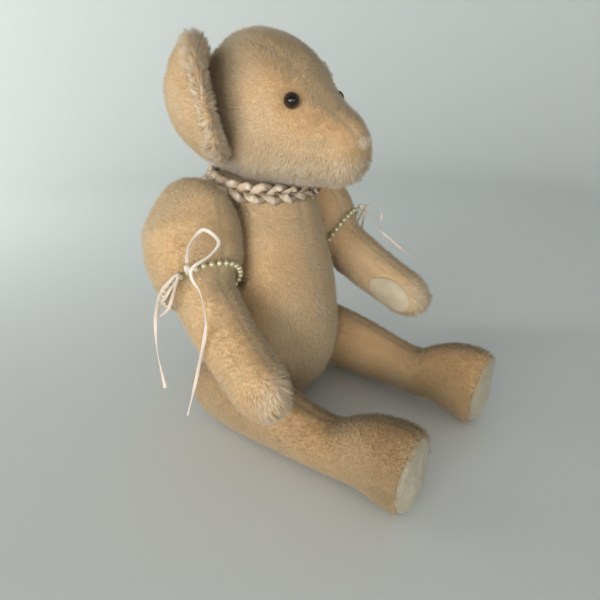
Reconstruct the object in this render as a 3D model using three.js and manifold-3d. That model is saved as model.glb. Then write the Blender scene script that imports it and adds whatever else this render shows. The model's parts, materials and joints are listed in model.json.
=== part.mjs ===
// A jointed mohair teddy bear, seated: head, arms and legs turn on bolted hardboard discs.
// Millimetres, +Z up. The bear faces -Y, its left side is +X, and it sits on z = 0.
import * as THREE from "three";
import { mergeVertices } from "three/addons/utils/BufferGeometryUtils.js";
import Module from "manifold-3d";

const wasm = await Module();
wasm.setup();

// ---- Driving dimensions ----
const SKIN = 2.2; // mohair backing cloth
const GAP = 0.35; // clearance between touching pieces
const SIDES = 12; // facets round a stuffed shape

// Body: height, centre y, half width, half depth.
const BODY = [
  [0, 8, 32, 30],
  [12, 6, 52, 48],
  [40, 3, 71, 67],
  [84, 3, 81, 77],
  [130, 6, 82, 78],
  [172, 10, 78, 75],
  [208, 14, 71, 68],
  [240, 16, 63, 61],
  [260, 17, 55, 54],
  [274, 17, 46, 45],
  [288, 17, 36, 35],
];

// Head, from the nape to the snout: y, centre height over the neck, half width, half height.
const NECK = [0, 17, 274];
const NECK_LEAN = 7; // degrees, the neck joint leans forward
const HEAD_TURN = 6; // degrees, toward the bear's left
const HEAD = [
  [66, 72, 0, 0],
  [61, 72, 30, 35],
  [42, 67, 56, 68],
  [12, 70, 68, 76],
  [-20, 67, 69, 74],
  [-46, 63, 61, 64],
  [-66, 54, 51, 51],
  [-86, 49, 42, 41],
  [-104, 46, 34, 35],
  [-116, 45, 25, 27],
  [-125, 44, 0, 0],
];
const GUSSET = [
  [62, 16],
  [20, 30],
  [-30, 27],
  [-70, 17],
  [-130, 9],
];
const EAR = { radius: 53, depth: 33, cloth: 3, at: [68, 18, 78], inward: 36, tip: 16 };
const EYE = { radius: 8, at: [43, -60, 88] };
const NOSE = [0, -117, 57];
const NOSE_SIZE = [10, 8, 8];

// Limbs: station y and z from the joint, distance out of the centreline, half thickness, half width.
// The left arm rests a little higher than the right one.
const SHOULDER = { at: [58, 20, 206], tilt: 10, disc: 20, raised: { left: 8, right: 0 } };
const ARM = [
  [28, 65, 41, 0, 0],
  [25, 59, 41, 19, 26],
  [18, 44, 42, 33, 46],
  [12, 29, 43, 44, 51],
  [7, 14, 44, 51, 53],
  [-3, -8, 46, 51, 51],
  [-13, -26, 47, 49, 46],
  [-26, -42, 52, 35, 34],
  [-45, -62, 53, 31, 35],
  [-69, -82, 54, 30, 33],
  [-95, -101, 54, 29, 32],
  [-118, -117, 54, 27, 30],
  [-136, -129, 54, 18, 19],
  [-143, -134, 54, 0, 0],
];
const PAW_PAD = { y: -104, z: -107, long: 30, wide: 20, turn: 36 };

const HIP = { at: [60, -4, 50], disc: 20, raised: { left: 0, right: 0 } };
const LEG = [
  [41, -3, 31, 0, 0],
  [35, -3, 31, 24, 24],
  [18, -3, 30, 36, 40],
  [-10, -3, 30, 38, 46],
  [-50, -6, 33, 34, 43],
  [-88, -9, 32, 32, 38],
  [-122, -12, 31, 30, 33],
  [-152, -12, 29, 29, 32],
  [-176, -5, 28, 29, 38],
  [-200, -1, 27, 31, 46],
  [-222, -1, 26, 31, 49],
  [-236, -2, 26, 26, 44],
];
const SOLE = { y: -230, z: -3, lean: 7 }; // a point on the seam of the foot pad

const HEAD_DISC = 20;

// Trimmings. The collar's section: distance from the neck axis, height over the neck joint.
const COLLAR = [
  [48.5, -1],
  [55, -1],
  [60, -6],
  [61, -12.5],
  [60, -15],
  [54, -9],
];
const PEARLS = { station: 7, beads: 32, bead: 3.1, thread: 1, off: 1.6, lift: [4, 4, 4] };
// A bow of ribbon tied on each pearl string: the knot's place round the arm, and the routes of
// its two halves from the knot, each a loop and a tail: out of the arm, back and up.
const KNOT = { turn: 44, size: [3.6, 5, 5] };
const RIBBON = 1.7;
const BACK_HALF = [
  [2.5, 2, -5.8],
  [8, 6, -13],
  [9, 16, -27],
  [10, 31, -52],
  [9, 15, -42],
  [10, 4, -18],
  [11.5, -1, -4],
  [14, 8, -13],
  [14.5, 20, -29],
  [14, 26, -55],
  [11, 26, -88],
  [6, 18, -126],
];
const RIBBONS = {
  left: {
    front: [
      [2, -6, 1],
      [9, -17, -1],
      [12, -24, -11],
      [12, -19.5, -23.5],
      [11, -10, -21],
      [9.5, -1, -12],
      [6.5, 1, -10],
      [4, -5, -18],
      [6, -14, -28],
      [6, -36, -50],
      [6, -73, -79],
    ],
    back: BACK_HALF,
  },
  right: {
    front: [
      [1.5, -1, 5.8],
      [3, -3, 15],
      [5, -10, 27],
      [4, -24, 40],
      [-5, -34, 31],
      [-4, -25, 17],
      [5, -13, 4],
      [6, -14, -6],
      [3, -23, -18],
      [0, -29, -46],
      [-2, -22, -85],
      [-4, -6, -150],
    ],
    back: BACK_HALF,
  },
};
const DISC = 3.2;
const BOLT = { shaft: 2.9, hole: 3.3, head: 8, thick: 3, nut: 6.8, nutThick: 5 };

// ---- Materials ----
const material = (color, roughness, metalness = 0) =>
  new THREE.MeshStandardMaterial({ color, roughness, metalness });
const MOHAIR = "#dcc3a6";
const FILL = "#e9e4d8";
const SUEDE = "#d8d3c8";

// ---- Shape tools ----
const at = (x, y, z) => new THREE.Vector3(x, y, z);

function indexed(positions, triangles) {
  const geometry = new THREE.BufferGeometry();
  geometry.setAttribute("position", new THREE.Float32BufferAttribute(positions, 3));
  geometry.setIndex(triangles);
  return geometry;
}

// A closed skin through elliptical rings. A ring with no width is a single point.
function loft(rings, sides = SIDES) {
  const positions = [];
  const rows = [];
  for (const ring of rings) {
    const row = [];
    if (ring.a === 0) {
      row.push(positions.length / 3);
      positions.push(...ring.c.toArray());
    } else {
      for (let i = 0; i < sides; i++) {
        const t = (2 * Math.PI * i) / sides;
        const p = ring.c
          .clone()
          .addScaledVector(ring.u, ring.a * Math.cos(t))
          .addScaledVector(ring.v, ring.b * Math.sin(t));
        row.push(positions.length / 3);
        positions.push(...p.toArray());
      }
    }
    rows.push(row);
  }
  const triangles = [];
  const cap = (row, flip) => {
    if (row.length === 1) return;
    const centre = positions.length / 3;
    const sum = at(0, 0, 0);
    for (const k of row) sum.add(at(...positions.slice(3 * k, 3 * k + 3)));
    positions.push(...sum.divideScalar(row.length).toArray());
    row.forEach((k, i) => {
      const next = row[(i + 1) % row.length];
      triangles.push(...(flip ? [centre, next, k] : [centre, k, next]));
    });
  };
  for (let r = 0; r + 1 < rows.length; r++) {
    const [low, high] = [rows[r], rows[r + 1]];
    for (let i = 0; i < sides; i++) {
      const j = (i + 1) % sides;
      if (low.length === 1) {
        triangles.push(low[0], high[j], high[i]);
      } else if (high.length === 1) {
        triangles.push(low[i], low[j], high[0]);
      } else {
        triangles.push(low[i], low[j], high[j], low[i], high[j], high[i]);
      }
    }
  }
  cap(rows[0], true);
  cap(rows[rows.length - 1], false);
  return indexed(positions, triangles);
}

function solid(geometry, matrix) {
  let g = geometry.clone();
  g.deleteAttribute("normal");
  g.deleteAttribute("uv");
  g = mergeVertices(g, 1e-4);
  if (matrix) g.applyMatrix4(matrix);
  const make = (index) =>
    new wasm.Manifold(
      new wasm.Mesh({
        numProp: 3,
        vertProperties: new Float32Array(g.attributes.position.array),
        triVerts: new Uint32Array(index),
      }),
    );
  const index = Array.from(g.index.array);
  const made = make(index);
  if (made.volume() > 0) return made;
  const turned = [];
  for (let i = 0; i < index.length; i += 3) turned.push(index[i], index[i + 2], index[i + 1]);
  return make(turned);
}

function toGeometry(manifold) {
  const mesh = manifold.getMesh();
  const positions = [];
  for (let i = 0; i < mesh.vertProperties.length; i += mesh.numProp) {
    positions.push(...mesh.vertProperties.slice(i, i + 3));
  }
  const geometry = indexed(positions, Array.from(mesh.triVerts));
  geometry.computeVertexNormals();
  return geometry;
}

// The largest separate body of a solid.
function largest(manifold) {
  const bodies = manifold.decompose();
  return bodies.reduce((best, one) => (one.volume() > best.volume() ? one : best));
}

// A cylinder along +X, from x0 to x1.
function barX(radius, x0, x1, segments = 16) {
  const g = new THREE.CylinderGeometry(radius, radius, x1 - x0, segments);
  g.rotateZ(Math.PI / 2);
  g.translate((x0 + x1) / 2, 0, 0);
  return g;
}

function block(x0, x1, y0, y1, z0, z1) {
  const g = new THREE.BoxGeometry(x1 - x0, y1 - y0, z1 - z0);
  g.translate((x0 + x1) / 2, (y0 + y1) / 2, (z0 + z1) / 2);
  return g;
}

function node(name, shape, look) {
  const geometry = shape.isBufferGeometry ? shape : toGeometry(shape);
  const mesh = new THREE.Mesh(geometry, look);
  mesh.name = name;
  return mesh;
}

const bear = new THREE.Group();
bear.name = "teddy_bear";

// ---- Joint hardware, along +X of its own frame: x > 0 is the limb, x < 0 is the body ----
function discShape(radius, x0) {
  const profile = [
    [BOLT.hole, 0],
    [radius, 0],
    [radius, DISC],
    [BOLT.hole, DISC],
    [BOLT.hole, 0],
  ].map(([r, h]) => new THREE.Vector2(r, h));
  const g = new THREE.LatheGeometry(profile, 16);
  g.rotateZ(-Math.PI / 2);
  g.translate(x0, 0, 0);
  return g;
}

const FACE = GAP + SKIN + GAP; // joint plane to the near face of a disc
const PLATE = FACE + DISC + GAP; // joint plane to the bolt head or the nut

function boltShape() {
  const end = -(PLATE + BOLT.nutThick + 2);
  const profile = [
    [0, end],
    [BOLT.shaft, end],
    [BOLT.shaft, PLATE],
    [BOLT.head, PLATE],
    [BOLT.head - 1.5, PLATE + BOLT.thick],
    [0, PLATE + BOLT.thick],
  ].map(([r, h]) => new THREE.Vector2(r, h));
  const g = new THREE.LatheGeometry(profile, 10);
  g.rotateZ(-Math.PI / 2);
  return g;
}

function nutShape() {
  const outline = new THREE.Shape();
  for (let i = 0; i < 6; i++) {
    const t = (Math.PI / 3) * i;
    const [x, y] = [BOLT.nut * Math.cos(t), BOLT.nut * Math.sin(t)];
    if (i === 0) outline.moveTo(x, y);
    else outline.lineTo(x, y);
  }
  outline.closePath();
  const hole = new THREE.Path();
  hole.absarc(0, 0, BOLT.hole, 0, 2 * Math.PI, true);
  outline.holes.push(hole);
  const options = { depth: BOLT.nutThick, bevelEnabled: false, curveSegments: 6 };
  const g = new THREE.ExtrudeGeometry(outline, options);
  g.rotateY(-Math.PI / 2);
  g.translate(-PLATE, 0, 0);
  return g;
}

function jointHardware(group, name, radius) {
  const board = material("#8a6a48", 0.8);
  const steel = material("#a9abad", 0.35, 0.9);
  const outer = discShape(radius, FACE);
  const inner = discShape(radius, -FACE - DISC);
  group.add(node(`${name}_limb_disc`, solid(outer), board));
  group.add(node(`${name}_body_disc`, solid(inner), board));
  group.add(node(`${name}_bolt`, solid(boltShape()), steel));
  group.add(node(`${name}_lock_nut`, solid(nutShape()), steel));
}

// The hole for a bolt, and the hollows of the stuffing round the hardware on either side.
const pinHole = (place) => solid(barX(BOLT.hole, -20, 20, 10), place);
const limbPocket = (radius, place) =>
  solid(barX(radius + 1, -30, PLATE + BOLT.thick + GAP), place);
const bodyPocket = (radius, place) =>
  solid(barX(radius + 1, -(PLATE + BOLT.nutThick + 2 + GAP), 30), place);

// ---- Body ----
function ringsOfBody(inset) {
  return BODY.map(([z, y, a, b], i) => {
    let height = z;
    if (i === 0) height = z + inset;
    if (i === BODY.length - 1) height = z - inset;
    return { c: at(0, y, height), u: at(1, 0, 0), v: at(0, 1, 0), a: a - inset, b: b - inset };
  });
}

// Frames of the joints: +X along the joint axis, out of the body.
function jointFrame(place, side, tilt) {
  const frame = new THREE.Matrix4();
  const out = at(side * Math.cos(tilt), 0, Math.sin(tilt));
  const back = at(0, side, 0);
  frame.makeBasis(out, back, out.clone().cross(back));
  frame.setPosition(side * place[0], place[1], place[2]);
  return frame;
}

const rad = THREE.MathUtils.degToRad;
const frames = {
  left: {
    shoulder: jointFrame(SHOULDER.at, 1, rad(SHOULDER.tilt)),
    hip: jointFrame(HIP.at, 1, 0),
  },
  right: {
    shoulder: jointFrame(SHOULDER.at, -1, rad(SHOULDER.tilt)),
    hip: jointFrame(HIP.at, -1, 0),
  },
};
const lean = rad(NECK_LEAN);
const neckFrame = new THREE.Matrix4()
  .makeRotationX(lean)
  .multiply(new THREE.Matrix4().makeRotationY(-Math.PI / 2));
neckFrame.setPosition(...NECK);

function bodySolid(inset) {
  let shape = solid(loft(ringsOfBody(inset)));
  for (const side of ["left", "right"]) {
    const shoulderFlat = solid(barX(50 + inset, -GAP / 2 - inset, 60, 20), frames[side].shoulder);
    const hipFlat = solid(barX(54 + inset, -GAP / 2 - inset, 60, 20), frames[side].hip);
    shape = shape.subtract(shoulderFlat).subtract(hipFlat);
  }
  return shape.subtract(solid(barX(90, -GAP / 2 - inset, 90, 20), neckFrame));
}

let bodySkin = bodySolid(0).subtract(bodySolid(SKIN));
let bodyFill = bodySolid(SKIN + GAP);
for (const side of ["left", "right"]) {
  for (const [joint, radius] of [
    ["shoulder", SHOULDER.disc],
    ["hip", HIP.disc],
  ]) {
    bodySkin = bodySkin.subtract(pinHole(frames[side][joint]));
    bodyFill = bodyFill.subtract(bodyPocket(radius, frames[side][joint]));
  }
}
bodySkin = bodySkin.subtract(pinHole(neckFrame));
bodyFill = bodyFill.subtract(bodyPocket(HEAD_DISC, neckFrame));
const mohair = () => material(MOHAIR, 0.95);
const halfLeft = solid(block(GAP / 2, 200, -200, 200, -10, 400));
const halfRight = solid(block(-200, -GAP / 2, -200, 200, -10, 400));
bear.add(node("body_skin_left", bodySkin.intersect(halfLeft), mohair()));
bear.add(node("body_skin_right", bodySkin.intersect(halfRight), mohair()));
bear.add(node("body_stuffing", bodyFill, material(FILL, 1)));

// ---- Head ----
const head = new THREE.Group();
head.position.set(...NECK);
head.rotation.set(lean, 0, rad(HEAD_TURN), "XYZ");

function headSolid(inset) {
  const last = HEAD.length - 1;
  const rings = HEAD.map(([y, z, a, b], i) => {
    const shift = i === 0 ? -inset : i === last ? inset : 0;
    const [p, q] = a === 0 ? [0, 0] : [a - inset, b - inset];
    return { c: at(0, y + shift, z), u: at(1, 0, 0), v: at(0, 0, 1), a: p, b: q };
  });
  const under = solid(block(-99, 99, -199, 99, -99, GAP / 2 + inset));
  return solid(loft(rings)).subtract(under);
}

// The strip over the head between the two side panels, widened by `grow`.
function gussetCutter(grow) {
  const right = GUSSET.map(([y, x]) => [x + grow, y]);
  const left = GUSSET.map(([y, x]) => [-x - grow, y]).reverse();
  const outline = new THREE.Shape([...right, ...left].map((p) => new THREE.Vector2(...p)));
  const g = new THREE.ExtrudeGeometry(outline, { depth: 200, bevelEnabled: false });
  g.translate(0, 0, 62);
  return g;
}

const eyes = {};
for (const side of [1, -1]) {
  const eye = new THREE.SphereGeometry(EYE.radius, 10, 7);
  const place = at(side * EYE.at[0], EYE.at[1], EYE.at[2]);
  eye.translate(...place.toArray());
  const socket = new THREE.SphereGeometry(EYE.radius + GAP, 10, 7);
  socket.translate(...place.toArray());
  eyes[side] = { ball: solid(eye), socket: solid(socket) };
}

let headSkin = headSolid(0).subtract(headSolid(SKIN));
let headFill = headSolid(SKIN + GAP);
const neckTurn = new THREE.Matrix4().makeBasis(at(0, 0, 1), at(0, 1, 0), at(-1, 0, 0));
headSkin = headSkin.subtract(pinHole(neckTurn));
headFill = headFill.subtract(limbPocket(HEAD_DISC, neckTurn));
for (const side of [1, -1]) {
  headSkin = headSkin.subtract(eyes[side].socket);
  headFill = headFill.subtract(eyes[side].socket);
}
const sidePanels = headSkin.subtract(solid(gussetCutter(GAP)));
const headLeft = solid(block(GAP / 2, 200, -200, 200, -10, 400));
const headRight = solid(block(-200, -GAP / 2, -200, 200, -10, 400));
head.add(node("head_side_left", largest(sidePanels.intersect(headLeft)), mohair()));
head.add(node("head_side_right", largest(sidePanels.intersect(headRight)), mohair()));
head.add(node("head_gusset", largest(headSkin.intersect(solid(gussetCutter(0)))), mohair()));
head.add(node("head_stuffing", headFill, material(FILL, 1)));

// An ear is two bowls of cloth, one inside the other, sewn along the side of the head.
function bowl(radius, depth, thick, shift) {
  const ball = (radius * radius + depth * depth) / (2 * depth);
  const rim = Math.asin(radius / ball);
  const profile = [];
  for (const t of [0, 0.35, 0.7, 1]) {
    profile.push([ball * Math.sin(rim * t), ball * Math.cos(rim * t)]);
  }
  for (const t of [1, 0.7, 0.35, 0]) {
    profile.push([(ball - thick) * Math.sin(rim * t), (ball - thick) * Math.cos(rim * t)]);
  }
  const points = profile.map(([r, h]) => new THREE.Vector2(r, h - ball + depth + shift));
  return new THREE.LatheGeometry(points, 14);
}

for (const side of [1, -1]) {
  const name = side > 0 ? "left" : "right";
  const place = new THREE.Matrix4();
  const turn = rad(EAR.inward);
  const tip = rad(EAR.tip);
  const back = at(side * Math.sin(turn), Math.cos(turn) * Math.cos(tip), -Math.sin(tip));
  back.normalize();
  const across = at(0, 0, 1).cross(back).normalize();
  place.makeBasis(across, back, across.clone().cross(back));
  place.setPosition(side * EAR.at[0], EAR.at[1], EAR.at[2]);
  const clear = headSolid(-GAP);
  const outer = solid(bowl(EAR.radius, EAR.depth, EAR.cloth, 0), place);
  const lining = solid(
    bowl(EAR.radius - 4, EAR.depth - 3.2, EAR.cloth, -0.4),
    place,
  ).subtract(solid(bowl(EAR.radius, EAR.depth, EAR.cloth + 0.3, 0), place));
  head.add(node(`ear_${name}_back`, largest(outer.subtract(clear)), mohair()));
  head.add(node(`ear_${name}_lining`, largest(lining.subtract(clear)), mohair()));
  head.add(node(`eye_${name}`, eyes[side].ball, material("#160d08", 0.05)));
}

const nose = new THREE.SphereGeometry(1, 12, 8);
nose.scale(...NOSE_SIZE);
nose.translate(...NOSE);
const noseShape = largest(solid(nose).subtract(headSolid(-GAP)));
head.add(node("nose_stitched", noseShape, material("#d9c0a4", 0.7)));

const neckHardware = new THREE.Group();
neckHardware.rotation.y = -Math.PI / 2;
jointHardware(neckHardware, "neck", HEAD_DISC);
head.add(neckHardware);
bear.add(head);

// ---- Braided collar ----
const collarSection = [...COLLAR, COLLAR[0]].reverse().map(([r, h]) => new THREE.Vector2(r, h));
const collarRing = new THREE.LatheGeometry(collarSection, 24);
collarRing.rotateX(Math.PI / 2);
const collarPlace = new THREE.Matrix4().makeRotationX(lean).setPosition(...NECK);
const collar = solid(collarRing, collarPlace).subtract(bodySolid(-GAP));
bear.add(node("collar_braid", largest(collar), material("#c9ac95", 0.5)));

// ---- Limbs ----
function limbRings(stations, inset) {
  const centre = (i) => at(stations[i][2], stations[i][0], stations[i][1]);
  const last = stations.length - 1;
  return stations.map(([, , , a, b], i) => {
    const along = centre(Math.min(i + 1, last)).sub(centre(Math.max(i - 1, 0)));
    along.x = 0;
    along.normalize();
    const c = centre(i);
    if (i === 0) c.addScaledVector(along, inset);
    if (i === last) c.addScaledVector(along, -inset);
    const u = at(1, 0, 0);
    const v = along.clone().cross(u);
    return a === 0 ? { c, u, v, a, b } : { c, u, v, a: a - inset, b: b - inset };
  });
}

function limbSolid(stations, inset) {
  const inner = solid(block(-90, GAP / 2 + inset, -400, 400, -400, 400));
  return solid(loft(limbRings(stations, inset))).subtract(inner);
}

// An oval plug through the inner side of the paw.
function pawPlug(grow) {
  const g = barX(1, -20, 34, 14);
  g.scale(1, PAW_PAD.long + grow, PAW_PAD.wide + grow);
  g.rotateX(rad(PAW_PAD.turn));
  g.translate(0, PAW_PAD.y, PAW_PAD.z);
  return solid(g);
}

// Everything in front of the seam round the foot pad.
function beyondSole(grow) {
  const g = block(-90, 90, -90, grow, -90, 90);
  g.rotateX(rad(SOLE.lean));
  g.translate(20, SOLE.y, SOLE.z);
  return solid(g);
}

// The group of a limb, turned up at rest by so many degrees.
function limbGroup(side, place, raised) {
  const group = new THREE.Group();
  group.applyMatrix4(frames[side][place]);
  const turned = new THREE.Group();
  turned.rotation.x = rad(side === "left" ? -raised : raised);
  group.add(turned);
  bear.add(group);
  return turned;
}

// Places round the arm on a tilted ring: the outer side and the back ride up.
const armMesh = new THREE.Mesh(loft(limbRings(ARM, 0)), new THREE.MeshBasicMaterial());
armMesh.updateMatrixWorld(true);

function roundArm(turn, off) {
  const ring = limbRings(ARM, 0)[PEARLS.station];
  const [outer, front, all] = PEARLS.lift;
  const up = ring.v.clone().cross(ring.u);
  const rise = all + outer * Math.cos(turn) + front * Math.sin(turn);
  const middle = ring.c.clone().addScaledVector(up, all);
  const out = ring.u
    .clone()
    .multiplyScalar(Math.cos(turn) * ring.a)
    .addScaledVector(ring.v, Math.sin(turn) * ring.b)
    .addScaledVector(up, rise - all)
    .normalize();
  const start = middle.clone().addScaledVector(out, 200);
  const hit = new THREE.Raycaster(start, out.clone().negate()).intersectObject(armMesh)[0];
  return { spot: hit.point.clone().addScaledVector(out, off), out, up };
}

// A string of beads round the arm, drawn as one closed ring of swellings on a thread.
function pearlRing() {
  const positions = [];
  const triangles = [];
  const steps = 3 * PEARLS.beads;
  const sides = 5;
  for (let i = 0; i < steps; i++) {
    const place = Math.floor(i / 3) + [0, 0.3, 0.7][i % 3];
    const turn = (2 * Math.PI * place) / PEARLS.beads;
    const { spot, out, up } = roundArm(turn, PEARLS.off + PEARLS.bead);
    const radius = i % 3 === 0 ? PEARLS.thread : PEARLS.bead;
    for (let k = 0; k < sides; k++) {
      const t = (2 * Math.PI * k) / sides;
      const p = spot
        .clone()
        .addScaledVector(out, radius * Math.cos(t))
        .addScaledVector(up, radius * Math.sin(t));
      positions.push(...p.toArray());
      const [a, b] = [i * sides + k, i * sides + ((k + 1) % sides)];
      const [c, d] = [a, b].map((n) => (n + sides) % (steps * sides));
      triangles.push(a, b, d, a, d, c);
    }
  }
  return solid(indexed(positions, triangles));
}

// The middle of the bow's knot, outside the pearl string.
function knotPlace() {
  const reach = PEARLS.off + 2 * PEARLS.bead + GAP + KNOT.size[0] + 0.4;
  return roundArm(rad(KNOT.turn), reach).spot;
}

function ribbonTube(route) {
  const knot = knotPlace();
  const curve = new THREE.CatmullRomCurve3(route.map((p) => at(...p).add(knot)));
  const section = new THREE.Shape();
  section.absarc(0, 0, RIBBON, 0, 2 * Math.PI);
  const steps = Math.round(curve.getLength() / 9);
  const options = { steps, curveSegments: 4, extrudePath: curve };
  return solid(new THREE.ExtrudeGeometry(section, options));
}

for (const side of ["left", "right"]) {
  const hand = side === "left" ? 1 : -1;
  const mirror = new THREE.Matrix4().makeScale(1, hand, 1);
  const flip = (shape) => shape.transform(mirror.toArray());

  const arm = limbGroup(side, "shoulder", SHOULDER.raised[side]);
  const armSkin = limbSolid(ARM, 0).subtract(limbSolid(ARM, SKIN)).subtract(pinHole());
  const armFill = limbSolid(ARM, SKIN + GAP).subtract(limbPocket(SHOULDER.disc));
  const pawPad = flip(largest(armSkin.intersect(pawPlug(0))));
  arm.add(node(`arm_${side}_skin`, flip(armSkin.subtract(pawPlug(GAP))), mohair()));
  arm.add(node(`paw_${side}_pad`, pawPad, material(SUEDE, 0.9)));
  arm.add(node(`arm_${side}_stuffing`, flip(armFill), material(FILL, 1)));
  jointHardware(arm, `shoulder_${side}`, SHOULDER.disc);

  arm.add(node(`pearl_string_${side}`, flip(pearlRing()), material("#e6dfcd", 0.25)));
  const satin = () => material("#eadbd2", 0.4);
  const knot = new THREE.SphereGeometry(1, 8, 6);
  knot.scale(...KNOT.size);
  knot.translate(...knotPlace().toArray());
  arm.add(node(`bow_${side}_knot`, flip(solid(knot)), satin()));
  for (const [part, route] of Object.entries(RIBBONS[side])) {
    arm.add(node(`bow_${side}_ribbon_${part}`, flip(ribbonTube(route)), satin()));
  }

  const leg = limbGroup(side, "hip", HIP.raised[side]);
  const legSkin = limbSolid(LEG, 0).subtract(limbSolid(LEG, SKIN)).subtract(pinHole());
  const legFill = limbSolid(LEG, SKIN + GAP).subtract(limbPocket(HIP.disc));
  const footPad = flip(legSkin.intersect(beyondSole(0)));
  leg.add(node(`leg_${side}_skin`, flip(legSkin.subtract(beyondSole(GAP))), mohair()));
  leg.add(node(`foot_${side}_pad`, footPad, material(SUEDE, 0.9)));
  leg.add(node(`leg_${side}_stuffing`, flip(legFill), material(FILL, 1)));
  jointHardware(leg, `hip_${side}`, HIP.disc);
}

bear.updateMatrixWorld(true);
export default bear;
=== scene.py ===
"""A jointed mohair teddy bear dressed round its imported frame: pile, pads, trimmings and joints.

Shapes are worked out in millimetres in the frame's own axes, and become metres in link().
"""

import copy
import json
import math

import bpy
import numpy as np
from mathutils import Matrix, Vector
from mathutils.bvhtree import BVHTree


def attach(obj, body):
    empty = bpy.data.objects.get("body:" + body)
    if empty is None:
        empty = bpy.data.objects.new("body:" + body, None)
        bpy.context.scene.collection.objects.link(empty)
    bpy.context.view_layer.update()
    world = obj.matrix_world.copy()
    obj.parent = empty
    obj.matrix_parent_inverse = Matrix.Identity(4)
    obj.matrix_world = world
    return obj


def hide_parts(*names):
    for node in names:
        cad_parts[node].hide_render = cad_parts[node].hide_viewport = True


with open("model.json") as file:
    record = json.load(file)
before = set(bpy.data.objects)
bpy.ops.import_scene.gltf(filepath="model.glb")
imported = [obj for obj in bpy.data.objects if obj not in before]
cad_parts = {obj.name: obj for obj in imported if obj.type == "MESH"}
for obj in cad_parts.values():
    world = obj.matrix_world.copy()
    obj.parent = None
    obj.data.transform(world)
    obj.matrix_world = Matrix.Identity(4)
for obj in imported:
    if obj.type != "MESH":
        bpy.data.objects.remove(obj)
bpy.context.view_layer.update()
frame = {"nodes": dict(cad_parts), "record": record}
MM = 0.001
TAU = 2 * math.pi
FLIP_X = np.array([-1.0, 1, 1])  # turns left into right
SIDES = (("left", 1), ("right", -1))
rng = np.random.default_rng(20)

# ---- Camera ----
def aimed(name, data, place, aim):
    """A camera or a lamp, standing at a place and looking at another."""
    item = bpy.data.objects.new(name, data)
    item.location = place
    item.rotation_mode = "QUATERNION"
    item.rotation_quaternion = (Vector(aim) - Vector(place)).to_track_quat("-Z", "Y")
    bpy.context.scene.collection.objects.link(item)
    return item


camera = aimed("camera", bpy.data.cameras.new("camera"),
               (-0.4068, -0.3650, 0.3633), (0.0185, -0.0230, 0.1238))
camera.data.sensor_width = 36
camera.data.lens = 28.86
camera.data.clip_start = 0.02
bpy.context.scene.camera = camera

# ---- Places in the frame, in millimetres ----
NECK = np.array([0.0, 17.0, 274.0])
LEAN = math.radians(7)
TURN = math.radians(6)
SHOULDER = np.array([58.0, 20.0, 206.0])
SHOULDER_TILT = math.radians(10)
RAISED = math.radians(8)  # the left arm rests this much higher
HIP = np.array([60.0, -4.0, 50.0])
EYES = {"left": np.array([43.0, -60.0, 88.0]), "right": np.array([-43.0, -60.0, 88.0])}
EYE_RADIUS = 7.6
NOSE = np.array([0.0, -117.0, 57.0])
NOSE_SIZE = np.array([10.0, 8.0, 8.0])


def turn_x(a):
    c, s = math.cos(a), math.sin(a)
    return np.array([[1, 0, 0], [0, c, -s], [0, s, c]])


def turn_z(a):
    c, s = math.cos(a), math.sin(a)
    return np.array([[c, -s, 0], [s, c, 0], [0, 0, 1]])


class Place:
    """A frame: its rows are the world directions of its own x, y and z."""

    def __init__(self, origin, rows):
        self.origin = np.asarray(origin, float)
        self.rows = np.asarray(rows, float)

    def out(self, points):
        return np.asarray(points, float) @ self.rows + self.origin

    def aim(self, vectors):
        return np.asarray(vectors, float) @ self.rows

    def local(self, points):
        return (np.asarray(points, float) - self.origin) @ self.rows.T


def joint_place(origin, tilt):
    out = np.array([math.cos(tilt), 0, math.sin(tilt)])
    back = np.array([0.0, 1.0, 0.0])
    return Place(origin, [out, back, np.cross(out, back)])


neck = Place(NECK, turn_x(LEAN).T)
head = Place(NECK, (turn_x(LEAN) @ turn_z(TURN)).T)
shoulder = joint_place(SHOULDER, SHOULDER_TILT)
raised = Place(SHOULDER, turn_x(RAISED) @ shoulder.rows)
hip = joint_place(HIP, 0)

# Stuffed shapes through rings: centre x, y, z, half width, half depth.
BODY = [[0, 8, 0, 0, 0], [0, 8, 0, 32, 30], [0, 6, 12, 52, 48], [0, 3, 40, 71, 67],
        [0, 3, 84, 81, 77], [0, 6, 130, 82, 78], [0, 10, 172, 78, 75],
        [0, 14, 208, 71, 68], [0, 16, 240, 64, 62], [0, 17, 260, 59, 58],
        [0, 17, 274, 54, 53], [0, 17, 288, 44, 43], [0, 17, 288, 0, 0]]
HEAD = [[0, 66, 72, 0, 0], [0, 61, 72, 30, 35], [0, 42, 67, 56, 68], [0, 12, 70, 68, 76],
        [0, -20, 67, 69, 74], [0, -46, 63, 61, 64], [0, -66, 54, 51, 51],
        [0, -86, 49, 42, 41], [0, -104, 46, 34, 35], [0, -116, 45, 25, 27],
        [0, -125, 44, 0, 0]]
ARM = [[41, 28, 65, 0, 0], [41, 25, 59, 19, 26], [42, 18, 44, 33, 46], [43, 12, 29, 44, 51],
       [44, 7, 14, 51, 53], [46, -3, -8, 51, 51], [47, -13, -26, 49, 46],
       [52, -26, -42, 35, 34], [53, -45, -62, 31, 35], [54, -69, -82, 30, 33],
       [54, -95, -101, 29, 32], [54, -118, -117, 27, 30], [54, -136, -129, 18, 19],
       [54, -143, -134, 0, 0]]
LEG = [[31, 41, -3, 0, 0], [31, 35, -3, 24, 24], [30, 18, -3, 36, 40], [30, -10, -3, 38, 46],
       [33, -50, -6, 34, 43], [32, -88, -9, 32, 38], [31, -122, -12, 30, 33],
       [29, -152, -12, 29, 32], [28, -176, -5, 29, 38], [27, -200, -1, 31, 46],
       [26, -222, -1, 31, 49], [26, -234, -2, 27, 45], [26, -240, -2, 16, 27],
       [26, -242, -2, 0, 0]]
GUSSET_Y = [-130, -70, -30, 20, 62]
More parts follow.
